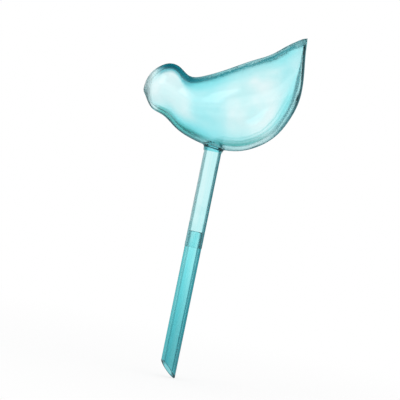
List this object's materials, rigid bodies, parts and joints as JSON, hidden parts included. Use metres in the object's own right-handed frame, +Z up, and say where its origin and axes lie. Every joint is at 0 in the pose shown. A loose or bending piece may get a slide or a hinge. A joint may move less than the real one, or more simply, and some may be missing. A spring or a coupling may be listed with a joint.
{
  "type": "watering globe",
  "caption": "Bird-shaped watering globe of clear turquoise plastic: a hollow bird of moulded half shells on a neck tube that plugs onto a slant-cut soil spike.",
  "frame": {"origin": "on the stem's axis, at the spike's shoulder, where the neck tube's rim sits", "axes": "+Z up along the stem, -X towards the beak, +X towards the tail, -Y the bird's left side"},
  "size_m": [0.117, 0.0708, 0.2708],
  "materials": {
    "shell_plastic": "clear pale turquoise, polished",
    "tube_plastic": "clear pale turquoise, polished",
    "spike_plastic": "clear deep turquoise, polished"
  },
  "bodies": {
    "spike": {"soil_spike": "spike_plastic"},
    "bird": {"left_shell": "shell_plastic", "right_shell": "shell_plastic", "neck_tube": "tube_plastic"}
  },
  "joints": [
    {"name": "neck_lift", "type": "slide", "parent": "spike", "child": "bird", "axis": [0, 0, 1], "range_m": [0, 0.03]}
  ]
}
